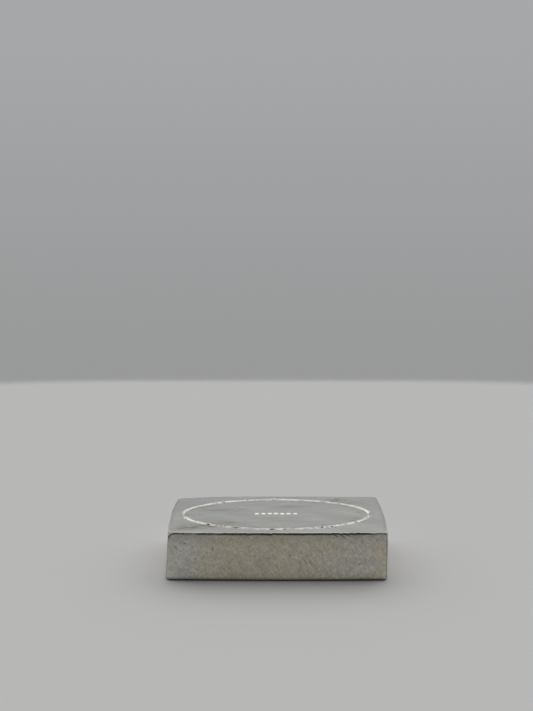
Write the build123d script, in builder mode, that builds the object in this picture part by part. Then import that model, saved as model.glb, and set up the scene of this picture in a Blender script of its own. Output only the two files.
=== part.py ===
"""A small cast silver ingot: one bellied, leaning block with a struck oval line and a row of punch dots on top.

Millimetres. The origin is the middle of the resting face, +X runs along the bar and +Z points up.
"""

import os

from build123d import *

# Block: sizes at the resting face, over the bellied sides
bar_length = 44.2
bar_width = 22.4
bar_height = 9.9
end_bow = 0.44
side_bow = 0.32

# How far the top of each wall stands in from its foot: the bar came out of its mould a little askew
left_lean = 0.6
right_lean = 0.05
side_lean = 0.12

# Edges: the mould leaves tight corners, and one of them is worn rounder
corner_radius = 0.9
worn_corner_radius = 2.2
top_edge_radius = 0.25
bottom_edge_radius = 0.35

# Struck oval: a V-shaped line that keeps clear of the block's edges
oval_end_margin = 3.1
oval_side_margin = 2.3
line_width = 0.8
line_depth = 0.35

# Punch dots: a short row in the middle of the oval
dot_count = 7
dot_pitch = 1.3
dot_diameter = 0.85
dot_depth = 0.2

# How far the cutting tools reach out of the metal
tool_rise = 0.2

os.makedirs("parts", exist_ok=True)

half_length = bar_length / 2
half_width = bar_width / 2
oval_x = half_length - oval_end_margin
oval_y = half_width - oval_side_margin


def bar_outline(height, left_end, right_end, side):
    """The bar's outline at one height: four shallow arcs, so every side bellies out a little."""
    middle = (left_end + right_end) / 2
    left_corner = left_end + end_bow
    right_corner = right_end - end_bow
    side_corner = side - side_bow
    with BuildSketch(Plane.XY.offset(height)) as outline:
        with BuildLine():
            ThreePointArc((left_corner, -side_corner), (middle, -side), (right_corner, -side_corner))
            ThreePointArc((right_corner, -side_corner), (right_end, 0), (right_corner, side_corner))
            ThreePointArc((right_corner, side_corner), (middle, side), (left_corner, side_corner))
            ThreePointArc((left_corner, side_corner), (left_end, 0), (left_corner, -side_corner))
        make_face()
    return outline.sketch.face()


with BuildPart() as ingot:
    # The block: straight walls from the outline of the foot up to the smaller one of the top
    foot = bar_outline(0, -half_length, half_length, half_width)
    top = bar_outline(bar_height, left_lean - half_length, half_length - right_lean, half_width - side_lean)
    loft([foot, top], ruled=True)

    # Round corners, then soft edges round the top and the resting face
    uprights = ingot.edges().filter_by(lambda edge: edge.bounding_box().size.Z > bar_height / 2)
    worn_corner = uprights.sort_by(Axis.X)[:2].sort_by(Axis.Y)[-1]
    fillet([upright for upright in uprights if upright != worn_corner], corner_radius)
    fillet(ingot.edges().sort_by_distance(worn_corner @ 0.5)[0], worn_corner_radius)
    fillet(ingot.faces().sort_by(Axis.Z)[-1].edges(), top_edge_radius)
    fillet(ingot.faces().sort_by(Axis.Z)[0].edges(), bottom_edge_radius)

    # The oval line: a V section carried once round an ellipse on the top face
    with BuildLine(Plane.XY.offset(bar_height)) as oval_path:
        EllipticalCenterArc((0, 0), oval_x, oval_y, start_angle=0, arc_size=360)
    section_plane = Plane(origin=(oval_x, 0, bar_height), x_dir=(1, 0, 0), z_dir=(0, -1, 0))
    half_mouth = line_width / 2 * (1 + tool_rise / line_depth)
    with BuildSketch(section_plane):
        with BuildLine():
            Polyline((0, -line_depth), (half_mouth, tool_rise), (-half_mouth, tool_rise), close=True)
        make_face()
    sweep(path=oval_path.wire(), is_frenet=True, mode=Mode.SUBTRACT)

    # The dots: shallow caps of a ball punch, turned so that its poles and seam stay out of the metal
    punch_radius = (dot_diameter**2 / 4 + dot_depth**2) / (2 * dot_depth)
    with Locations((0, 0, bar_height - dot_depth + punch_radius)):
        with GridLocations(dot_pitch, dot_pitch, dot_count, 1):
            Sphere(punch_radius, rotation=(0, -90, 0), mode=Mode.SUBTRACT)

ingot.part.label = "ingot"
export_step(ingot.part, "parts/ingot.step")
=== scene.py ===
import math

import bpy
import numpy as np
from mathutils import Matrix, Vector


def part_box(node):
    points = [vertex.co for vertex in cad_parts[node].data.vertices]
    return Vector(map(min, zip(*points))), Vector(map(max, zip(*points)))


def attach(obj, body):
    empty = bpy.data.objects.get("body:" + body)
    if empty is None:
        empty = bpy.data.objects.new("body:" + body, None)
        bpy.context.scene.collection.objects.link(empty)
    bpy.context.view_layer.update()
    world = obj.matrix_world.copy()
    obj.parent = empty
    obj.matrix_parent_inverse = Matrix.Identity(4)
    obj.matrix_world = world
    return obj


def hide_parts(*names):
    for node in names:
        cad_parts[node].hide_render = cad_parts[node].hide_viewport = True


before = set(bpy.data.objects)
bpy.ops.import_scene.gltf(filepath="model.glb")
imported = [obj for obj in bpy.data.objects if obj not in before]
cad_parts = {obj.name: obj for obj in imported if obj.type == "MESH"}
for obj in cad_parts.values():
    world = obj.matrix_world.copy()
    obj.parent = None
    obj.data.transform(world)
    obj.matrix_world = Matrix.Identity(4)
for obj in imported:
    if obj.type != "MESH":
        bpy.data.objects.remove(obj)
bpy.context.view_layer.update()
mm = 0.001
print("frame loaded with", sorted(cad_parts))

# the CAD ingot gives the skin its length, width and height, here in millimetres
footCorner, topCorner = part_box("ingot")
halfLength = (topCorner.x - footCorner.x) / 2 / mm
halfWidth = (topCorner.y - footCorner.y) / 2 / mm
barHeight = (topCorner.z - footCorner.z) / mm
barMiddle = (topCorner.x + footCorner.x) / 2 / mm

# sides are listed as front, right, back, left, and corners as front left, front right, back right, back left
ingotForm = {
    "cornerRadii": (0.9, 0.7, 0.9, 1.75),
    "bows": (0.32, 0.44, 0.32, 0.44),  # belly of each side
    "leans": (0.14, 0.03, 0.10, 0.60),  # how far the top of each wall stands in
    "rimRounds": (0.07, 0.12, 0.10, 0.12),  # turn from the top face into each wall
    "rimInsets": (0.12, 0.04, 0.08, 0.05),  # how far each wall curves in on its last stretch up to the rim
    "rimDrop": 0.9,  # height of that stretch
    "rimSpread": 0.2,  # share by which inset and drop vary along the rim
    "insetLength": 4.6,  # wave lengths of that, and the shares that it keeps to
    "insetLimits": (0.4, 1.8),
    "dropLength": 4.0,
    "dropLimits": (0.5, 1.6),
    "cornerRub": (0.32, 0.16),  # how far in and down the front left corner is rubbed off
    "cornerReach": 1.2,
    "footRound": 0.5,
    "burrRoom": 0.05,  # the flat top lies this far under the box, so that burrs stay inside it
    "droop": 0.32,  # the worn back left corner sinks this far
    "droopReach": 5.0,
    "topWaves": (0.010, 0.0, 0.0),  # height of the long, middle and short waves
    "wallWaves": (0.026, 0.010, 0.006),
    "waveLengths": (7.0, 1.9, 0.9),
    "calmRim": (0.1, 1.0),  # depths under the top between which the wall's waves grow
    "calmFoot": (0.0, 0.6),  # heights over the foot between which all relief grows
    "wear": (1.0, 0.5, 0.5, 0.5),  # how strongly the grain shows on each wall
    "seed": 11,
}

# number and spacing of the skin's rings, from the middle of the top to the middle of the foot
skinGrid = {
    "sideSteps": (250, 84, 150, 84),  # steps along each side
    "cornerSteps": 16,
    "firstShare": 0.003,  # size of the first ring, as a share of the line's inner ring
    "dotRings": 42,  # close rings over the dots, and wider ones from there to the line
    "dotRoom": 0.6,  # how far the close rings reach past the row, in pitches
    "fieldRings": 14,
    "lineOffsets": (0.05, 0.1, 0.15, 0.2, 0.25, 0.3, 0.34, 0.38, 0.43, 0.5, 0.6, 0.75, 0.95),
    "landRings": 12,
    "landPower": 1.5,  # rings lie closer together towards the rim
    "rimRings": 6,
    "shoulderRings": 13,
    "shoulderPower": 1.4,
    "wallRings": 34,
    "footRings": 7,
    "baseRings": 7,
    "lastShare": 0.02,  # size of the last ring, as a share of the foot
}

struckLine = {
    "endMargin": 3.1,  # from the bar's ends and sides to the middle of the line
    "sideMargin": 2.3,
    "halfMouth": 0.36,
    "depth": 0.25,
    "wander": 0.06,  # share by which width and depth vary along the line
    "widthLength": 3.0,  # wave lengths of that
    "depthLength": 2.4,
    "crumble": 0.07,  # share by which its lips are ragged
    "crumbleLength": 0.7,
    "burr": 0.013,
    "burrSpread": 0.8,  # share by which the burr varies along the line
    "burrLength": 0.9,
    "burrPlace": 0.08,  # from the lip to the top of the burr
    "burrHalf": 0.10,
    "nicks": 30,
    "nickSizes": (0.18, 0.40),
    "nickSlimness": (0.55, 0.9),
    "nickSides": (-0.2, 0.3),  # offsets from the middle of the line
    "nickStrengths": (0.3, 1.0),
    "nickSlants": (-1.2, 1.2),  # radians
    "nickDepth": 0.16,
    "roughStretch": (304, 354),  # degrees round the oval where the tool skipped
    "roughShare": 0.35,  # share of the nicks that lie there
    "fringePlace": 0.40,  # a brown fringe lies this far out from the line
    "fringeHalf": 0.16,
    "fringeLength": 2.2,
    "fringeFront": (-0.1, 0.5),  # forward and rightward parts of the way round over which it begins
    "fringeLeft": (0.9, -0.1),
    "seed": 23,
}

punchDots = {
    "count": 7,
    "pitch": 1.3,
    "radius": 0.42,
    "depth": 0.16,
    "jog": 0.03,
    "radiusSpread": (0.92, 1.1),
    "depthSpread": (0.85, 1.1),
    "lip": 0.12,  # height of the raised lip, as a share of the depth
    "lipPlace": 1.18,  # shares of the radius
    "lipHalf": 0.16,
    "seed": 5,
}

# a crease runs round under the rim, and on the front it turns down into both upright edges; its dark colour
# is dirt and painted shade
edgeCrease = {
    "below": 0.25,  # under the top face
    "wander": 0.02,
    "wanderLength": 2.4,
    "ragged": 0.04,
    "raggedLengths": (1.1, 3.5),
    "halfWidth": 0.13,
    "widthShare": 0.4,  # share of the width that grows with the strength
    "depth": 0.08,
    "facing": (0.12, 0.4),  # forward part of the wall's normal over which the front begins
    "leftRoom": 0.08,  # from the upright edges to the crease
    "rightRoom": 0.18,
    "leftTurn": 1.4,  # radius of the turn at each end of the front
    "rightTurn": 0.35,
    "leftFade": (1.0, 1.9),  # the left upright stretch fades between these depths
    "strength": 0.7,
    "strengthSpread": 0.16,
    "strengthLengths": (5.0, 0.9),
    "strengthLimits": (0.35, 1.1),
    "turnStrength": 1.3,
    "sideStrength": 0.55,
    "sideBlend": (0.0, 0.6),
    "backStrength": 0.4,
    "heavyStretch": (-9.0, 17.0),  # the crease is deepest on this part of the front
    "heavyBlend": 3.0,
    "heavyStrength": 1.1,
    "heavyLoss": 0.6,  # share of the usual strength that this takes the place of
    "tarnishEdge": 0.06,  # half width of the change to tarnished metal
    "seed": 31,
}

# scratches on the front: place along the bar, depth under the top, length, slant in degrees, half width and
# strength
frontScars = {
    "depth": 0.07,
    "runEnds": (0.5, 0.2),  # shares of the length over which a scratch ends
    "facing": (0.8, 0.95),
    "marks": (
        (11.4, 0.55, 1.7, -34, 0.13, 1.0),
        (12.9, 0.75, 1.7, -38, 0.12, 0.9),
        (14.1, 0.70, 1.0, -30, 0.12, 0.6),
        (-12.4, 3.3, 1.2, 84, 0.13, 0.6),
        (-17.8, 2.2, 0.7, 10, 0.22, 0.55),
        (-19.6, 3.2, 1.0, -48, 0.15, 0.5),
        (-15.8, 5.4, 0.8, 5, 0.15, 0.4),
        (-16.0, 6.2, 0.7, 8, 0.15, 0.4),
        (4.6, 6.0, 1.8, -56, 0.13, 0.45),
        (5.6, 5.8, 2.0, -58, 0.13, 0.45),
        (6.7, 6.0, 1.7, -55, 0.13, 0.4),
        (-3.2, 5.6, 1.2, 70, 0.13, 0.4),
        (-1.6, 5.2, 1.4, 4, 0.13, 0.35),
        (2.6, 4.6, 0.5, 0, 0.18, 0.5),
        (15.2, 6.0, 0.9, -20, 0.15, 0.4),
        (16.1, 6.4, 0.8, 12, 0.15, 0.4),
    ),
}

# soft smudges on the top: place along and across the bar, half length, half width and strength
topSmudges = {
    "wander": (0.5, 0.3),  # how far their edges wander along and across the bar
    "wanderLengths": (2.5, 1.6),
    "seed": 71,
    "marks": (
        (-13.0, -6.9, 3.0, 0.60, 0.45),
        (-17.4, -8.3, 2.0, 0.70, 0.55),
        (-9.0, -5.2, 2.4, 0.50, 0.25),
        (-14.0, -7.0, 7.0, 3.0, 0.14),
        (-12.5, 2.0, 2.6, 0.45, 0.45),
        (-8.5, 3.0, 2.6, 0.40, 0.25),
        (12.5, 8.2, 2.2, 0.80, 0.40),
        (15.5, 6.6, 2.0, 0.50, 0.28),
        (4.0, 4.4, 3.0, 0.50, 0.20),
        (18.5, 1.0, 0.9, 0.60, 0.35),
    ),
}

# colour and tone of the walls, with painted light towards the foot
wallTarnishAndPaintedLight = {
    "warmth": 0.5,  # share of warm tarnish on the ends and the back
    "warmthSpread": 0.14,
    "warmthLength": 14.0,
    "frontFacing": (0.5, 0.9),
    "frontWarmth": (0.15, 0.83),  # least and most on the front
    "frontLeft": (-22.0, -10.0),  # places along the front over which it grows warm, from each end
    "frontRight": (18.0, 3.0),
    "farRight": (17.5, 22.0),  # and warm again at the far right edge
    "frontWander": 2.0,
    "frontLength": 7.0,
    "rimDark": 0.19,  # darker under the rim
    "rimDarkPlace": 0.3,
    "rimDarkHalf": 1.6,
    "footPaintedLight": 0.16,  # painted light towards the foot
    "footPaintedLightRise": (5.5, 0.8),
    "seed": 81,
}

# stains, painted shade, and worn metal with painted highlight along the edges and the line
edgeMarks = {
    "footShadeHalf": 0.38,  # painted contact shade round the foot
    "edgeWearAndHighlight": 0.7,  # bare worn metal along the rim, and painted highlight there
    "edgeHalf": 0.07,
    "bruisePlace": -0.7,  # dull metal along the inside of the line
    "bruiseHalf": 0.9,
    "rimShadeSides": (0.0, 1.0, 0.1, 1.0),  # strength of the painted shade inside each side's rim
    "rimShadePlace": 0.15,
    "rimShadeHalf": 0.35,
}


# Smooth random field of spread 1: plane waves of about one length, each with a random heading and phase,
# added up and divided by the square root of half their number
def waveField(points, waveLength, seed, waves=28, paces=(0.7, 1.4)):
    rng = np.random.default_rng(seed)
    heading = rng.normal(size=(waves, points.shape[-1]))
    heading /= np.linalg.norm(heading, axis=1)[:, None]
    pace = 2 * math.pi / waveLength * rng.uniform(*paces, waves)
    phase = rng.uniform(0, 2 * math.pi, waves)
    return np.cos(points @ (heading * pace[:, None]).T + phase).sum(-1) / math.sqrt(waves / 2)


# Ramp from 0 to 1 between two values, with level ends
def smoothRamp(values, start, end):
    t = np.clip((values - start) / (end - start), 0, 1)
    return t * t * (3 - 2 * t)


# Bell curve of height 1
def bell(values, spread):
    return np.exp(-((values / spread) ** 2))


# One value for each outline point: the four side values, weighed by the square of the normal's part towards
# each side
def bySide(outward, values):
    sides = np.array([(0, -1), (1, 0), (0, 1), (-1, 0)])
    return np.clip(outward @ sides.T, 0, 1) ** 2 @ np.array(values)


# Outline of the foot, anticlockwise from the front left: centre + radius * (cos turn, sin turn), where
# centre, radius and turn are straight-line functions of the step. Then each side bellies out by a parabola,
# so that a point keeps its full reach in the middle of its side and loses the bow at the corners
def footOutline(form, grid):
    corners = [(-1, -1), (1, -1), (1, 1), (-1, 1)]
    radii = form["cornerRadii"]
    runs = np.stack([grid["sideSteps"], [grid["cornerSteps"]] * 4], 1).ravel()
    stops = np.concatenate([[0], np.cumsum(runs)])
    order = [0, 1, 1, 2, 2, 3, 3, 0, 0]
    centreX = [corners[k][0] * (halfLength - radii[k]) for k in order]
    centreY = [corners[k][1] * (halfWidth - radii[k]) for k in order]
    turn = np.radians([-90, -90, 0, 0, 90, 90, 180, 180, 270])
    step = np.arange(stops[-1])
    angle = np.interp(step, stops, turn)
    radius = np.interp(step, stops, [radii[k] for k in order])
    x = np.interp(step, stops, centreX) + radius * np.cos(angle)
    y = np.interp(step, stops, centreY) + radius * np.sin(angle)
    front, right, back, left = form["bows"]
    endBow = np.where(x > 0, right, left)
    sideBow = np.where(y > 0, back, front)
    bowedX = x * (1 - endBow / halfLength * (y / halfWidth) ** 2)
    bowedY = y * (1 - sideBow / halfWidth * (x / halfLength) ** 2)
    points = np.stack([bowedX, bowedY], 1)
    along = np.roll(points, -1, 0) - np.roll(points, 1, 0)
    outward = np.stack([along[:, 1], -along[:, 0]], 1)
    return points, outward / np.linalg.norm(outward, axis=1)[:, None]


# Half axes of the oval line
def ovalAxes(line):
    return halfLength - line["endMargin"], halfWidth - line["sideMargin"]


# Oval line: (a cos t, b sin t)
def ovalPath(line, t):
    a, b = ovalAxes(line)
    return np.stack([a * np.cos(t), b * np.sin(t)], 1)


# Rings beside the oval line: its path + offset * the unit normal, one ring for each offset
def ovalRings(line, t, offsets):
    a, b = ovalAxes(line)
    across = np.stack([np.cos(t) / a, np.sin(t) / b], 1)
    across /= np.linalg.norm(across, axis=1)[:, None]
    return ovalPath(line, t)[None] + offsets[:, None, None] * across[None]


# Nicks along the line: two-way bells, longer one way than the other, at random places and slants. A share of
# them is crowded into the rough stretch
def lineNicks(line, t, offsets):
    rng = np.random.default_rng(line["seed"])
    count = line["nicks"]
    a, b = ovalAxes(line)
    place = rng.uniform(0, 2 * math.pi, count)
    crowd = int(count * line["roughShare"])
    place[:crowd] = np.radians(rng.uniform(*line["roughStretch"], crowd))
    side = rng.uniform(*line["nickSides"], count)
    size = rng.uniform(*line["nickSizes"], count)
    strength = rng.uniform(*line["nickStrengths"], count)
    slant = rng.uniform(*line["nickSlants"], count)
    slim = rng.uniform(*line["nickSlimness"], count)
    pace = np.hypot(a * np.sin(place), b * np.cos(place))
    run = (np.angle(np.exp(1j * (t[:, None] - place))) * pace)[None]
    rise = offsets[:, None, None] - side
    along = run * np.cos(slant) + rise * np.sin(slant)
    across = rise * np.cos(slant) - run * np.sin(slant)
    return (bell(along, size) * bell(across, size * slim) * strength).sum(-1)


# Height of the struck line over the top face at each offset from its middle: a V whose width and depth
# wander along the line, a low burr on both lips, and shallow nicks. The masks are the groove, its nicks and
# a patchy brown fringe outside its front lip, mostly on the left
def lineRelief(line, t, offsets):
    seed = line["seed"]
    path = ovalPath(line, t)
    ragged = line["wander"] * waveField(path, line["widthLength"], seed + 1)
    ragged = ragged + line["crumble"] * waveField(path, line["crumbleLength"], seed + 4)
    mouth = line["halfMouth"] * (1 + ragged)
    depth = line["depth"] * (1 + line["wander"] * waveField(path, line["depthLength"], seed + 2))
    burrShare = 1 + line["burrSpread"] * waveField(path, line["burrLength"], seed + 3)
    away = np.abs(offsets)[:, None]
    cut = -depth * np.clip(1 - away / mouth, 0, 1)
    lips = line["burr"] * np.clip(burrShare, 0, 2) * bell(away - mouth - line["burrPlace"], line["burrHalf"])
    nicks = lineNicks(line, t, offsets)
    patchy = np.clip(0.5 + 0.5 * waveField(path, line["fringeLength"], seed + 5), 0, 1)
    patchy = patchy * smoothRamp(-np.sin(t), *line["fringeFront"])
    patchy = patchy * smoothRamp(np.cos(t), *line["fringeLeft"])
    masks = {
        "groove": np.clip(-cut / line["depth"], 0, 1),
        "nick": np.clip(nicks, 0, 1),
        "fringe": patchy * bell(offsets[:, None] - line["fringePlace"], line["fringeHalf"]),
    }
    return cut + lips - line["nickDepth"] * nicks, masks


# Distance from the middle of the oval line, from the ellipse equation q = hypot(x / a, y / b):
# (q - 1) / slope of q, where q and its slope stay above a least value in the middle of the oval
def lineDistance(line, x, y, leastShare=0.05, leastSlope=0.02):
    a, b = ovalAxes(line)
    q = np.maximum(np.hypot(x / a, y / b), leastShare)
    slope = np.hypot(x / a**2, y / b**2) / q
    return (q - 1) / np.maximum(slope, leastSlope)


# Row of shallow caps along X: each point sinks by 1 - (distance / radius)^2 of a dot, as a share of the
# dots' depth, and a low lip stands round it
def dotRelief(dots, x, y):
    rng = np.random.default_rng(dots["seed"])
    middle = (dots["count"] - 1) / 2
    sunk = np.zeros_like(x)
    for k in range(dots["count"]):
        jogX, jogY = rng.normal(0, dots["jog"], 2)
        radius = dots["radius"] * rng.uniform(*dots["radiusSpread"])
        away = np.hypot(x - (k - middle) * dots["pitch"] - jogX, y - jogY) / radius
        sunk += np.clip(1 - away**2, 0, 1) * rng.uniform(*dots["depthSpread"])
        sunk -= dots["lip"] * bell(away - dots["lipPlace"], dots["lipHalf"])
    return sunk


# Share by which a length varies along the rim: 1 + a random field, kept between two limits
def rimShare(form, foot, name, seed):
    field = waveField(foot, form[name + "Length"], seed)
    return np.clip(1 + form["rimSpread"] * field, *form[name + "Limits"])


# Wall from the rim to the foot as two tables, inset and height: a quarter round into the wall, a last
# stretch that curves in by the cube of its share, a straight wall, and a quarter round into the foot. A
# third table is the shift along X and Y that rubs the front left corner off, by a bell curve round it
def wallProfile(form, grid, outward, foot, top):
    inset = bySide(outward, form["rimInsets"]) * rimShare(form, foot, "inset", form["seed"])
    drop = form["rimDrop"] * rimShare(form, foot, "drop", form["seed"] + 7)
    phi = np.radians(np.linspace(0, 90, grid["rimRings"]))[:, None]
    chi = np.radians(np.linspace(0, 90, grid["footRings"]))[:, None]
    share = np.linspace(0, 1, grid["shoulderRings"])[1:, None] ** grid["shoulderPower"]
    wallShare = np.linspace(0, 1, grid["wallRings"])[1:-1, None]
    fromCorner = np.hypot(foot[:, 0] + halfLength, foot[:, 1] + halfWidth)
    rubIn, rubDown = np.outer(form["cornerRub"], bell(fromCorner, form["cornerReach"]))
    rimRound = bySide(outward, form["rimRounds"])
    footRound = np.full_like(inset, form["footRound"])
    shoulder = rimRound + rubDown + drop * share
    wall = (top - shoulder[-1]) * (1 - wallShare) + footRound * wallShare
    insets = np.concatenate([
        inset + rimRound * (1 - np.sin(phi)),
        inset * (1 - share) ** 3,
        np.zeros_like(wall),
        footRound * (1 - np.cos(chi)),
    ])
    heights = np.concatenate([
        top - (rimRound + rubDown) * (1 - np.cos(phi)),
        top - shoulder,
        wall,
        footRound * (1 - np.sin(chi)),
    ])
    rub = np.zeros_like(heights)
    rub[:len(phi)] = rubIn * (1 - np.sin(phi))
    return insets, heights, rub


# The whole skin as rings from the middle of the top to the middle of the foot: scaled copies of the line's
# inner ring, the struck line, a blend to the rim that is closer towards it, the wall, and scaled copies of
# the foot
def ingotRings(form, grid, line, dots, top):
    foot, outward = footOutline(form, grid)
    insets, heights, rub = wallProfile(form, grid, outward, foot, top)
    leanIn = bySide(outward, form["leans"]) * heights / barHeight
    wall = foot[None] - outward[None] * (insets + leanIn)[..., None] + rub[..., None]

    a, b = ovalAxes(line)
    t = np.unwrap(np.arctan2(foot[:, 1] / b, foot[:, 0] / a))
    half = np.array(grid["lineOffsets"])
    offsets = np.concatenate([-half[::-1], [0], half])
    groove = ovalRings(line, t, offsets)
    cut, lineMasks = lineRelief(line, t, offsets)

    dotZone = (dots["count"] + grid["dotRoom"]) / 2 * dots["pitch"] / (a - half[-1])
    closeShares = np.linspace(grid["firstShare"], dotZone, grid["dotRings"])
    wideShares = np.linspace(dotZone, 1, grid["fieldRings"])[1:-1]
    field = groove[0][None] * np.concatenate([closeShares, wideShares])[:, None, None]
    sunk = dotRelief(dots, field[..., 0], field[..., 1])
    blend = 1 - (1 - np.linspace(0, 1, grid["landRings"])[1:-1, None, None]) ** grid["landPower"]
    land = groove[-1][None] * (1 - blend) + wall[0][None] * blend
    base = wall[-1][None] * np.linspace(1, grid["lastShare"], grid["baseRings"])[1:, None, None]

    flat = np.concatenate([field, groove, land, wall, base])
    high = np.concatenate([
        top - dots["depth"] * sunk,
        top + cut,
        np.full(land.shape[:2], top),
        heights,
        np.zeros(base.shape[:2]),
    ])
    rings = np.concatenate([flat, high[..., None]], -1)
    lineRows = slice(len(field), len(field) + len(groove))
    rimRow = lineRows.stop + len(land)
    masks = {key: np.zeros(rings.shape[:2]) for key in ("dot", *lineMasks)}
    masks["dot"][:lineRows.start] = np.clip(sunk, 0, 1)
    for key, values in lineMasks.items():
        masks[key][lineRows] = values
    return rings, masks, rimRow, foot, outward


# How far a point lies inside a panel with one round corner: with a and b its distances from the panel's side
# and top, r - hypot(r - a, r - b) in the corner, and the smaller of a and b elsewhere
def panelDepth(a, b, radius):
    corner = radius - np.hypot(np.maximum(radius - a, 0), np.maximum(radius - b, 0))
    return np.where((a < radius) & (b < radius), corner, np.minimum(a, b))


# Crease darkness, which is dirt and painted shade: a bell curve of the distance from its line. Round the bar
# the line runs under the rim, and on the front it is the outline of a panel, strongest along the top and
# faint down the upright edges. Inside it the wall is tarnished
def creaseMasks(rings, isWall, foot, outward, crease, top):
    seed = crease["seed"]
    facing = smoothRamp(-outward[:, 1], *crease["facing"])
    start, end = crease["heavyStretch"]
    blend = crease["heavyBlend"]
    heavy = smoothRamp(foot[:, 0], start - blend, start) * smoothRamp(foot[:, 0], end + blend, end) * facing
    shortLength, longLength = crease["raggedLengths"]
    jag = waveField(foot, shortLength, seed + 3) * waveField(foot, longLength, seed + 4)
    wander = crease["wander"] * waveField(foot, crease["wanderLength"], seed)
    wander = wander + crease["ragged"] * heavy * jag
    below = top - rings[..., 2] - crease["below"] - wander
    x = rings[..., 0]
    front = x[:, facing > 0]
    fromLeft = x - front.min(1, keepdims=True) - crease["leftRoom"]
    fromRight = front.max(1, keepdims=True) - x - crease["rightRoom"]
    left = panelDepth(fromLeft, below, crease["leftTurn"])
    right = panelDepth(fromRight, below, crease["rightTurn"])
    panel = below + facing * (np.minimum(left, right) - below)

    slowLength, quickLength = crease["strengthLengths"]
    uneven = waveField(foot, slowLength, seed + 1) + waveField(foot, quickLength, seed + 2)
    bite = crease["strength"] + crease["strengthSpread"] * uneven
    bite = np.clip(bite, *crease["strengthLimits"])
    bite = bite * (crease["backStrength"] + (1 - crease["backStrength"]) * facing)
    bite = bite + heavy * (crease["heavyStrength"] - crease["heavyLoss"] * bite)
    onSide = smoothRamp(below - np.minimum(fromLeft, fromRight), *crease["sideBlend"]) * facing
    fade = smoothRamp(below, *crease["leftFade"][::-1]) * (fromLeft < fromRight)
    strength = bite * (1 - onSide) + np.maximum(fade, crease["sideStrength"]) * onSide
    turn = bell(np.hypot(np.maximum(fromLeft, 0), np.maximum(below, 0)), crease["leftTurn"]) * facing
    strength = strength + turn * (crease["turnStrength"] - strength)
    width = crease["halfWidth"] * (1 - crease["widthShare"] + crease["widthShare"] * strength)
    # dirt and painted shade along the crease line
    dark = isWall * strength * bell(panel, width)
    inside = np.maximum(panel, below - crease["leftTurn"])
    tarnished = isWall * smoothRamp(inside, -crease["tarnishEdge"], crease["tarnishEdge"])
    return dark, tarnished


# Scratches on the front: for each one, a bell curve across it times a soft-ended run along it
def scarMask(rings, outward, scars, top):
    x = rings[..., 0]
    depth = top - rings[..., 2]
    outer, inner = scars["runEnds"]
    total = np.zeros_like(x)
    for place, below, length, slant, half, strength in scars["marks"]:
        cos, sin = math.cos(math.radians(slant)), math.sin(math.radians(slant))
        along = (x - place) * cos - (depth - below) * sin
        across = (x - place) * sin + (depth - below) * cos
        total += strength * smoothRamp(np.abs(along), length * outer, length * inner) * bell(across, half)
    return total * smoothRamp(-outward[:, 1], *scars["facing"])


# Smudges on the top: flat two-way bell curves whose edges wander
def smudgeMask(rings, isWall, smudges):
    settings = zip(smudges["wander"], smudges["wanderLengths"])
    x, y = (rings[..., k] + wander * waveField(rings, length, smudges["seed"] + k)
            for k, (wander, length) in enumerate(settings))
    total = np.zeros_like(x)
    for placeX, placeY, halfX, halfY, strength in smudges["marks"]:
        total += strength * bell(x - placeX, halfX) * bell(y - placeY, halfY)
    return total * (1 - isWall)


# Share of warm tarnish on the walls: slow waves all round, and on the front warm in the middle and at the
# far right edge, and cleaner metal towards both ends
def warmMask(rings, outward, tarnishAndLight):
    slow = waveField(rings, tarnishAndLight["warmthLength"], tarnishAndLight["seed"])
    around = np.clip(tarnishAndLight["warmth"] + tarnishAndLight["warmthSpread"] * slow, 0, 1)
    wander = waveField(rings, tarnishAndLight["frontLength"], tarnishAndLight["seed"] + 1)
    x = rings[..., 0] + tarnishAndLight["frontWander"] * wander
    middle = smoothRamp(x, *tarnishAndLight["frontLeft"]) * smoothRamp(x, *tarnishAndLight["frontRight"])
    least, most = tarnishAndLight["frontWarmth"]
    zones = least + (most - least) * np.maximum(middle, smoothRamp(x, *tarnishAndLight["farRight"]))
    facing = smoothRamp(-outward[:, 1], *tarnishAndLight["frontFacing"])
    return around + facing * (zones - around)


# Tone of the walls by height: a bell curve that is darker under the rim, and painted light towards the foot
def toneAndPaintedLightByHeight(rings, tarnishAndLight, top):
    dark = bell(top - rings[..., 2] - tarnishAndLight["rimDarkPlace"], tarnishAndLight["rimDarkHalf"])
    light = smoothRamp(rings[..., 2], *tarnishAndLight["footPaintedLightRise"])
    return 1 - tarnishAndLight["rimDark"] * dark + tarnishAndLight["footPaintedLight"] * light


# Outward unit normals of a ring grid: the cross product of its two central differences
def gridNormals(rings):
    down = np.gradient(rings, axis=0)
    around = np.roll(rings, -1, 1) - np.roll(rings, 1, 1)
    normals = np.cross(down, around)
    return normals / np.maximum(np.linalg.norm(normals, axis=-1, keepdims=True), 1e-12)


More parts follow.
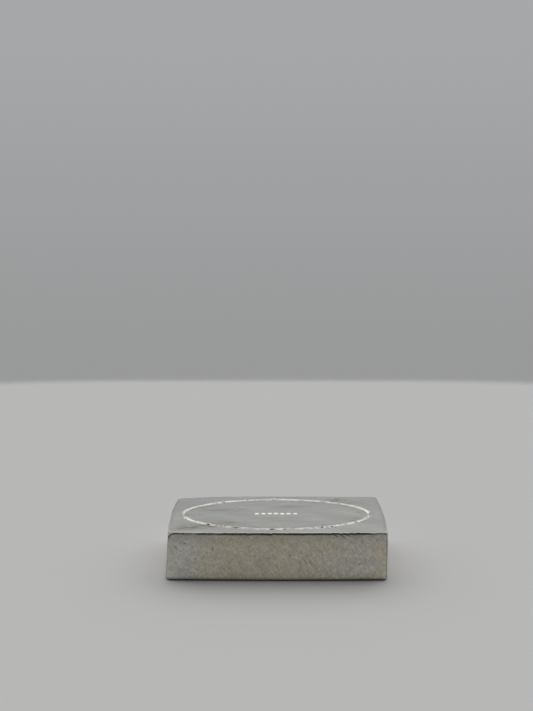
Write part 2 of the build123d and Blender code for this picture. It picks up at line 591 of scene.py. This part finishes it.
# Cast surface: the walls move along their normals, and the top straight up, by long, middle and short waves,
# less on the top and at the rim than on the walls. The crease and the scratches go in, and the worn corner
# sinks by a bell curve round it
def castSurface(rings, masks, isWall, form, crease, scars, top):
    normals = np.where(isWall[..., None] > 0, gridNormals(rings), (0, 0, 1))
    keep = 1 - np.maximum(masks["groove"], masks["nick"])
    rough = isWall * smoothRamp(top - rings[..., 2], *form["calmRim"])
    relief = np.zeros(rings.shape[:2])
    waves = zip(form["topWaves"], form["wallWaves"], form["waveLengths"])
    for k, (onTop, onWall, length) in enumerate(waves):
        height = (onTop + (onWall - onTop) * rough) * keep
        relief += height * waveField(rings, length, form["seed"] + 1 + k)
    relief -= crease["depth"] * masks["crease"] + scars["depth"] * masks["scar"]

    moved = rings + normals * (relief * smoothRamp(rings[..., 2], *form["calmFoot"]))[..., None]
    corner = np.hypot(moved[..., 0] + halfLength, moved[..., 1] - halfWidth)
    sink = form["droop"] * np.exp(-(corner**2) / (2 * form["droopReach"] ** 2))
    moved[..., 2] -= sink * moved[..., 2] / barHeight
    moved = np.clip(moved, (-halfLength, -halfWidth, 0), (halfLength, halfWidth, barHeight))
    return moved + (barMiddle, 0, 0)


# Quads between the neighbours of a grid of closed rings
def ringQuads(count, steps):
    row = np.arange(count - 1)[:, None] * steps
    here = np.arange(steps)
    there = (here + 1) % steps
    return np.stack([row + here, row + steps + here, row + steps + there, row + there], -1).reshape(-1, 4)


def addObject(name, data):
    thing = bpy.data.objects.new(name, data)
    bpy.context.scene.collection.objects.link(thing)
    return thing


# Closed mesh from rings: quads between neighbours, and a fan of triangles to one point at each end. Each
# mask becomes an attribute
def meshFromRings(name, rings, masks):
    count, steps = rings.shape[:2]
    poles = rings[[0, -1]].mean(1)
    points = np.concatenate([rings.reshape(-1, 3), poles]) * mm
    here = np.arange(steps)
    there = (here + 1) % steps
    lastRow = (count - 1) * steps
    firstFan = np.stack([np.full(steps, count * steps), here, there], -1)
    lastFan = np.stack([np.full(steps, count * steps + 1), lastRow + there, lastRow + here], -1)
    mesh = bpy.data.meshes.new(name)
    faces = ringQuads(count, steps).tolist() + firstFan.tolist() + lastFan.tolist()
    mesh.from_pydata(points.tolist(), [], faces)
    mesh.shade_smooth()
    for key, values in masks.items():
        layer = mesh.attributes.new(key, "FLOAT", "POINT")
        ends = values[[0, -1]].mean(1)
        layer.data.foreach_set("value", np.concatenate([values.ravel(), ends]).astype(np.float32))
    mesh.update()
    return addObject(name, mesh)


# The skin with its masks, which the material reads by name
def makeIngot(form, grid, line, dots, crease, scars, smudges, tarnishAndLight, marks):
    top = barHeight - form["burrRoom"]
    rings, masks, rimRow, foot, outward = ingotRings(form, grid, line, dots, top)
    x, y, z = np.moveaxis(rings, -1, 0)
    isWall = np.zeros(rings.shape[:2])
    isWall[rimRow:] = 1
    isTop = 1 - isWall
    masks["crease"], masks["wall"] = creaseMasks(rings, isWall, foot, outward, crease, top)
    masks["scar"] = scarMask(rings, outward, scars, top)
    masks["smudge"] = smudgeMask(rings, isWall, smudges)
    masks["warm"] = warmMask(rings, outward, tarnishAndLight)
    masks["tone"] = toneAndPaintedLightByHeight(rings, tarnishAndLight, top)
    masks["wear"] = isWall * bySide(outward, form["wear"])
    # painted contact shade along the foot
    masks["foot"] = isWall * bell(z, marks["footShadeHalf"])
    # rubbed bare metal at the front left corner, and along the rim worn metal with a painted highlight
    corner = bell(np.hypot(x + halfLength, y + halfWidth), form["cornerReach"])
    edge = marks["edgeWearAndHighlight"] * isWall * bell(top - z, marks["edgeHalf"])
    masks["rubbedAndHighlight"] = np.maximum((1 - masks["wall"]) * corner, edge)
    masks["bruise"] = isTop * bell(lineDistance(line, x, y) - marks["bruisePlace"], marks["bruiseHalf"])
    # painted shade inside the rim of the top, mostly along the ends
    fromRim = np.hypot(x - x[rimRow], y - y[rimRow])
    rimShade = bySide(outward, marks["rimShadeSides"])
    masks["rim"] = rimShade * isTop * bell(fromRim - marks["rimShadePlace"], marks["rimShadeHalf"])
    rings = castSurface(rings, masks, isWall, form, crease, scars, top)
    masks["crease"] = np.clip(masks["crease"], 0, 1)
    return meshFromRings("ingot_skin", rings, masks)


ingotSkin = makeIngot(ingotForm, skinGrid, struckLine, punchDots, edgeCrease, frontScars, topSmudges,
                      wallTarnishAndPaintedLight, edgeMarks)
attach(ingotSkin, "root")
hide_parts("ingot")
print("ingot skin:", len(ingotSkin.data.vertices), "points", len(ingotSkin.data.polygons), "faces")

castSilver = {
    "topColor": (0.64, 0.64, 0.605),
    "lineColor": (0.92, 0.895, 0.835),
    "warmColor": (0.61, 0.567, 0.46),  # thin tarnish on the walls
    "coolColor": (0.61, 0.597, 0.55),  # cleaner metal on the walls
    "tarnishColor": (0.24, 0.21, 0.16),
    "fringeColor": (0.42, 0.33, 0.21),
    # near-black dirt, and painted shade in the crease, the groove and at the foot
    "dirtAndShadeColor": (0.035, 0.032, 0.026),
    "bareColor": (0.97, 0.95, 0.92),  # rubbed metal, and painted highlight along the rim
    "noises": {  # scale per millimetre, detail and roughness of each pattern
        "grain": (2.5, 4.0, 0.55),
        "mottle": (0.85, 3.0, 0.6),
        "patch": (0.16, 3.0, 0.5),
        "cloud": (0.17, 5.0, 0.6),
        "hatch": (1.0, 2.0, 0.6),
        "hair": (1.0, 2.0, 0.5),
        "speck": (2.3, 3.0, 0.6),
    },
    "cloudStretch": (0.5, 1.5, 1.5),  # clouds lie along the bar
    "hatchSlants": (34.0, -52.0),  # degrees
    "hatchStretch": (4.0, 4.0, 0.7),
    "hairTurns": (4.0, -23.0, 38.0),  # degrees
    "hairStretch": (0.22, 7.0, 1.0),  # hairlines on the top are long one way and fine the other
    "wallTones": {  # range of each pattern, and the tones that it gives
        "grain": (0.25, 0.75, 0.88, 1.12),
        "mottle": (0.25, 0.75, 0.94, 1.06),
        "hatch": (0.3, 0.7, 0.90, 1.10),
        "cross": (0.3, 0.7, 0.94, 1.06),
    },
    "topTones": {
        "grain": (0.25, 0.75, 0.96, 1.04),
        "cloud": (0.3, 0.7, 0.88, 1.10),
        "hair": (0.3, 0.7, 0.96, 1.04),
        "scratch": (0.62, 0.78, 1.0, 0.88),
    },
    "patchWarmth": (0.3, 0.7, -0.1, 0.1),  # range of each pattern, and the warmth that it adds
    "grainWarmth": (0.3, 0.7, 0.1, -0.1),
    "pitScale": 1.1,
    "pitChoice": 0.86,  # share of the cells without a pit
    "pitEdge": (0.22, 0.1),
    "gritRamp": (0.60, 0.70),
    "gritGroove": (0.05, 0.35),
    # near-black specks of grit and painted shade that the nicks add to the groove
    "nickGritAndShade": 0.17,
    "dotLip": (0.02, 0.15),  # the wall of a dot is bright between these depths
    "dotFloor": (0.85, 0.6),
    "dotTarnishAndShade": (0.6, 0.9),  # and its floor is darkened by tarnish and painted shade
    "darkGrain": (0.42, 0.28),
    "dullMottle": (0.42, 0.68),
    "lineGrain": (0.46, 0.3),
    "stains": {  # strength of each stain; the rim entry is painted shade inside the rim, and the dot entry tarnish and painted shade on the dots' floors
        "pits": 0.4,
        "grain": 0.15,
        "scar": 1.4,
        "bruise": 0.3,
        "rim": 0.25,
        "dot": 0.85,
        "line": 0.6,
        "smudge": 1.5,
    },
    "fringeShare": 0.75,
    # near-black dirt and painted shade in the crease
    "creaseDirtAndShade": 0.92,
    "topRoughness": 0.23,
    "cloudRoughness": (0.3, 0.7, 0.26, 0.21),  # range of the clouds, and the top's roughness under them
    "wallRoughness": 0.52,
    "lineRoughness": 0.36,
    "relief": 0.6,  # height of grain, hatch and pits in the bump
    "grainBump": 0.3,
    "bumpDepth": 0.15,  # millimetres
    "topShare": 0.02,  # share of the bump that shows on the top
}


# Node tree with short helpers: add makes a node, sets its inputs and links the sockets among them
class NodeBench:
    def __init__(self, tree):
        self.tree = tree
        tree.nodes.clear()

    def add(self, kind, inputs=None, **settings):
        node = self.tree.nodes.new(kind)
        for key, value in settings.items():
            setattr(node, key, value)
        for key, value in (inputs or {}).items():
            if isinstance(value, bpy.types.NodeSocket):
                self.tree.links.new(value, node.inputs[key])
            else:
                node.inputs[key].default_value = value
        return node

    def math(self, operation, first, second=0.0, clamp=False):
        inputs = {0: first, 1: second}
        return self.add("ShaderNodeMath", inputs, operation=operation, use_clamp=clamp).outputs[0]

    def product(self, *factors):
        result = factors[0]
        for factor in factors[1:]:
            result = self.math("MULTIPLY", result, factor)
        return result

    def greatest(self, *values):
        result = values[0]
        for value in values[1:]:
            result = self.math("MAXIMUM", result, value)
        return result

    def ramp(self, value, fromMin, fromMax, toMin=0.0, toMax=1.0):
        inputs = {"Value": value, "From Min": fromMin, "From Max": fromMax, "To Min": toMin, "To Max": toMax}
        return self.add("ShaderNodeMapRange", inputs, interpolation_type="SMOOTHSTEP").outputs["Result"]

    def mixColor(self, share, first, second, blend="MIX"):
        node = self.add("ShaderNodeMix", data_type="RGBA", blend_type=blend)
        for key, value in zip((0, 6, 7), (share, first, second)):
            if isinstance(value, bpy.types.NodeSocket):
                self.tree.links.new(value, node.inputs[key])
            else:
                node.inputs[key].default_value = value if key == 0 else (*value, 1.0)
        return node.outputs[2]

    def dimmed(self, color, tone):
        grey = self.add("ShaderNodeCombineColor", {0: tone, 1: tone, 2: tone}).outputs[0]
        return self.mixColor(1.0, color, grey, "MULTIPLY")

    def noise(self, place, scale, detail, roughness):
        inputs = {"Vector": place, "Scale": scale, "Detail": detail, "Roughness": roughness}
        return self.add("ShaderNodeTexNoise", inputs).outputs["Fac"]

    def stretched(self, place, scale):
        return self.add("ShaderNodeMapping", {"Vector": place, "Scale": scale}).outputs[0]

    def turned(self, place, degrees, axis):
        inputs = {"Vector": place, "Angle": math.radians(degrees)}
        return self.add("ShaderNodeVectorRotate", inputs, rotation_type=axis + "_AXIS").outputs[0]

    def attribute(self, name):
        return self.add("ShaderNodeAttribute", attribute_name=name).outputs["Fac"]


def newMaterial(name):
    material = bpy.data.materials.new(name)
    material.use_nodes = True
    return material, NodeBench(material.node_tree)


# Noise patterns by name: fine grain, mottle, wide patches, clouds, two slanting hatches, hairlines,
# scratches that cross them, and specks of grit and painted shade
def silverPatterns(bench, place, look):
    noises = look["noises"]
    patterns = {key: bench.noise(place, *noises[key]) for key in ("grain", "mottle", "patch", "speck")}
    patterns["cloud"] = bench.noise(bench.stretched(place, look["cloudStretch"]), *noises["cloud"])
    for key, slant in zip(("hatch", "cross"), look["hatchSlants"]):
        slanted = bench.stretched(bench.turned(place, slant, "Y"), look["hatchStretch"])
        patterns[key] = bench.noise(slanted, *noises["hatch"])
    hairs = []
    for turn in look["hairTurns"]:
        heading = bench.stretched(bench.turned(place, turn, "Z"), look["hairStretch"])
        hairs.append(bench.noise(heading, *noises["hair"]))
    patterns["hair"] = hairs[0]
    patterns["scratch"] = bench.greatest(*hairs[1:])
    return patterns


# Product of the tones that the patterns of one table give
def patternTone(bench, patterns, table):
    return bench.product(*(bench.ramp(patterns[key], *span) for key, span in table.items()))


def castSilverMaterial(look):
    material, bench = newMaterial("cast_silver")
    place = bench.add("ShaderNodeTexCoord").outputs["Object"]
    inMm = bench.stretched(place, (1 / mm, 1 / mm, 1 / mm))
    # the tone attribute is darker under the rim and painted light towards the foot
    wall, wear, warm, heightShade = (bench.attribute(key) for key in ("wall", "wear", "warm", "tone"))
    groove, nick, fringe, bruise = (bench.attribute(key) for key in ("groove", "nick", "fringe", "bruise"))
    crease, scar, foot, rubbedAndHighlight = (bench.attribute(key) for key in ("crease", "scar", "foot", "rubbedAndHighlight"))
    rim, smudge, dot = (bench.attribute(key) for key in ("rim", "smudge", "dot"))
    onTop = bench.math("SUBTRACT", 1.0, wall)
    patterns = silverPatterns(bench, inMm, look)
    grain, mottle = patterns["grain"], patterns["mottle"]

    # pits lie in some of the cells, and near-black specks of grit and painted shade in the groove, most of
    # them in the nicks
    cells = bench.add("ShaderNodeTexVoronoi", {"Vector": inMm, "Scale": look["pitScale"]}).outputs
    lot = bench.add("ShaderNodeSeparateColor", {0: cells["Color"]}).outputs[0]
    chosen = bench.math("GREATER_THAN", lot, look["pitChoice"])
    pits = bench.product(bench.ramp(cells["Distance"], *look["pitEdge"]), chosen, wall)
    chance = bench.math("ADD", patterns["speck"], bench.product(nick, look["nickGritAndShade"]))
    gritAndShade = bench.product(bench.ramp(chance, *look["gritRamp"]), bench.ramp(groove, *look["gritGroove"]))

    # colour: bright top and line, tarnished walls, rubbed metal with painted highlight, then the tones of
    # the patterns, darker under the rim and painted light towards the foot, stains with painted shade, and
    # near-black dirt and painted shade
    warmth = bench.math("ADD", warm, bench.ramp(patterns["patch"], *look["patchWarmth"]))
    warmth = bench.math("ADD", warmth, bench.ramp(grain, *look["grainWarmth"]))
    wallColor = bench.mixColor(bench.ramp(warmth, 0.0, 1.0), look["coolColor"], look["warmColor"])
    color = bench.mixColor(wall, look["topColor"], wallColor)
    color = bench.mixColor(rubbedAndHighlight, color, look["bareColor"])
    dotWall = bench.product(bench.ramp(dot, *look["dotLip"]), bench.ramp(dot, *look["dotFloor"]))
    color = bench.mixColor(bench.greatest(groove, dotWall), color, look["lineColor"])
    speckle = patternTone(bench, patterns, look["wallTones"])
    topTone = patternTone(bench, patterns, look["topTones"])
    worn = bench.math("ADD", bench.product(wear, bench.math("SUBTRACT", speckle, 1.0)), 1.0)
    tone = bench.math("ADD", bench.product(wall, heightShade, worn), bench.product(onTop, topTone))
    color = bench.dimmed(color, tone)
    color = bench.mixColor(bench.product(fringe, look["fringeShare"]), color, look["fringeColor"])
    # stains; the one inside the rim is painted shade, and the one on the dots' floors is tarnish and painted
    # shade
    stains = {
        "pits": pits,
        "grain": bench.product(wall, wear, bench.ramp(grain, *look["darkGrain"])),
        "scar": scar,
        "bruise": bench.product(bruise, bench.ramp(mottle, *look["dullMottle"])),
        "rim": rim,
        "dot": bench.ramp(dot, *look["dotTarnishAndShade"]),
        "line": bench.product(groove, bench.ramp(grain, *look["lineGrain"])),
        "smudge": smudge,
    }
    stain = bench.greatest(*(
        bench.math("MULTIPLY", stains[key], strength, clamp=True) for key, strength in look["stains"].items()
    ))
    color = bench.mixColor(stain, color, look["tarnishColor"])
    # near-black dirt and painted shade: in the crease, as grit in the groove, and painted contact shade at
    # the foot
    dirtAndShade = bench.greatest(bench.product(crease, look["creaseDirtAndShade"]), gritAndShade, foot)
    color = bench.mixColor(dirtAndShade, color, look["dirtAndShadeColor"])

    roughWall = bench.product(wall, look["wallRoughness"] - look["topRoughness"])
    roughLine = bench.product(groove, look["lineRoughness"] - look["topRoughness"])
    roughness = bench.ramp(patterns["cloud"], *look["cloudRoughness"])
    roughness = bench.math("ADD", roughness, bench.math("ADD", roughWall, roughLine), clamp=True)

    relief = bench.math("SUBTRACT", bench.math("ADD", grain, patterns["hatch"]), pits)
    lift = bench.ramp(bench.product(wall, wear), 0.0, 1.0, look["topShare"], 1.0)
    bump = bench.add("ShaderNodeBump", {
        "Height": bench.product(relief, look["relief"], lift),
        "Strength": look["grainBump"],
        "Distance": look["bumpDepth"] * mm,
    })
    surface = bench.add("ShaderNodeBsdfPrincipled", {
        "Base Color": color,
        "Roughness": roughness,
        "Normal": bump.outputs[0],
        "Metallic": 1.0,
    })
    bench.add("ShaderNodeOutputMaterial", {"Surface": surface.outputs[0]})
    return material


ingotSkin.data.materials.append(castSilverMaterial(castSilver))
print("material: cast silver")

studioFloor = {
    "color": (0.85, 0.852, 0.855),
    "halfSize": 186.0,  # millimetres from the bar's middle to each edge
    "squareness": 4.0,  # power of the outline
    "shares": (0.02, 0.5, 0.93, 1.0),  # rings of the sheet, of which the last is the faded edge
    "steps": 160,
    "gap": 0.005,  # under the bar
}


# Matt paper that fades away at its edge
def floorPaper(floor):
    material, bench = newMaterial("matt_paper")
    paper = bench.add("ShaderNodeBsdfDiffuse", {"Color": (*floor["color"], 1.0)})
    clear = bench.add("ShaderNodeBsdfTransparent")
    faded = bench.ramp(bench.attribute("edge"), 0.0, 1.0)
    both = bench.add("ShaderNodeMixShader", {0: faded, 1: paper.outputs[0], 2: clear.outputs[0]})
    bench.add("ShaderNodeOutputMaterial", {"Surface": both.outputs[0]})
    return material


# Floor: rings of the rounded square |x|^p + |y|^p = half size^p, with one face in the middle
def makeFloor(floor):
    steps = floor["steps"]
    t = np.linspace(0, 2 * math.pi, steps, endpoint=False)
    axes = np.stack([np.cos(t), np.sin(t)], 1)
    outline = floor["halfSize"] * np.sign(axes) * np.abs(axes) ** (2 / floor["squareness"])
    shares = np.array(floor["shares"])
    flat = outline[None] * shares[:, None, None]
    rings = np.concatenate([flat, np.full((*flat.shape[:2], 1), -floor["gap"])], -1)
    faces = ringQuads(len(shares), steps).tolist() + [list(range(steps))]
    mesh = bpy.data.meshes.new("studio_floor")
    mesh.from_pydata((rings.reshape(-1, 3) * mm).tolist(), [], faces)
    edge = np.repeat(shares == 1, steps).astype(np.float32)
    mesh.attributes.new("edge", "FLOAT", "POINT").data.foreach_set("value", edge)
    mesh.materials.append(floorPaper(floor))
    return addObject("studio_floor", mesh)


makeFloor(studioFloor)
print("stage: floor")

softDome = {
    "low": (0.32, 0.322, 0.325),  # room below the horizon, and a little above it
    "high": (0.385, 0.39, 0.402),
    "rise": (-0.2, 0.2),  # upward part of the direction over which it brightens
    "front": (0.2, -0.5),  # backward part of the direction over which the front of the room begins
    "frontRise": (0.2, 0.5),  # the front darkens over this upward part
    "frontShare": 0.02,  # what is left of the room's light there
    "softbox": (1.1, 1.09, 1.07),
    "softboxTilt": 29.0,  # degrees from straight up towards the back
    "softboxCore": 26.0,  # half angle of its full brightness, and of its soft edge
    "softboxEdge": 40.0,
    "softboxStretch": 0.35,  # squeeze along X, which makes it longer that way
}


# Light from all round: a pale grey room with one long soft light overhead, a little behind the bar
def makeDome(dome):
    world = bpy.data.worlds.new("soft_dome")
    bpy.context.scene.world = world
    world.use_nodes = True
    bench = NodeBench(world.node_tree)
    heading = bench.add("ShaderNodeTexCoord").outputs["Generated"]
    parts = bench.add("ShaderNodeSeparateXYZ", {0: heading}).outputs
    room = bench.mixColor(bench.ramp(parts["Z"], *dome["rise"]), dome["low"], dome["high"])
    dark = bench.product(bench.ramp(parts["Y"], *dome["front"]), bench.ramp(parts["Z"], *dome["frontRise"]))
    room = bench.dimmed(room, bench.ramp(dark, 0.0, 1.0, 1.0, dome["frontShare"]))
    squeezed = bench.stretched(heading, (dome["softboxStretch"], 1, 1))
    unit = bench.add("ShaderNodeVectorMath", {0: squeezed}, operation="NORMALIZE").outputs[0]
    tilt = math.radians(dome["softboxTilt"])
    axis = (0, math.sin(tilt), math.cos(tilt))
    toward = bench.add("ShaderNodeVectorMath", {0: unit, 1: axis}, operation="DOT_PRODUCT").outputs["Value"]
    edge, core = (math.cos(math.radians(dome[key])) for key in ("softboxEdge", "softboxCore"))
    color = bench.mixColor(bench.ramp(toward, edge, core), room, dome["softbox"])
    background = bench.add("ShaderNodeBackground", {"Color": color, "Strength": 1.0})
    bench.add("ShaderNodeOutputWorld", {"Surface": background.outputs[0]})


makeDome(softDome)
print("light: soft dome")

photoCamera = {
    "place": (-1.41, -192.76, 78.0),  # millimetres
    "down": 10.371,  # degrees below the horizon
    "left": 0.158,  # degrees turned to the left
    "lens": 50.0,
    "clip": (0.005, 20.0),  # metres
}


def makeCamera(view):
    data = bpy.data.cameras.new("photo_camera")
    data.lens = view["lens"]
    data.clip_start, data.clip_end = view["clip"]
    camera = addObject("photo_camera", data)
    camera.location = [v * mm for v in view["place"]]
    camera.rotation_euler = (math.radians(90 - view["down"]), 0, math.radians(view["left"]))
    bpy.context.scene.camera = camera


makeCamera(photoCamera)
bpy.context.scene.view_settings.view_transform = "Standard"
print("camera in place")
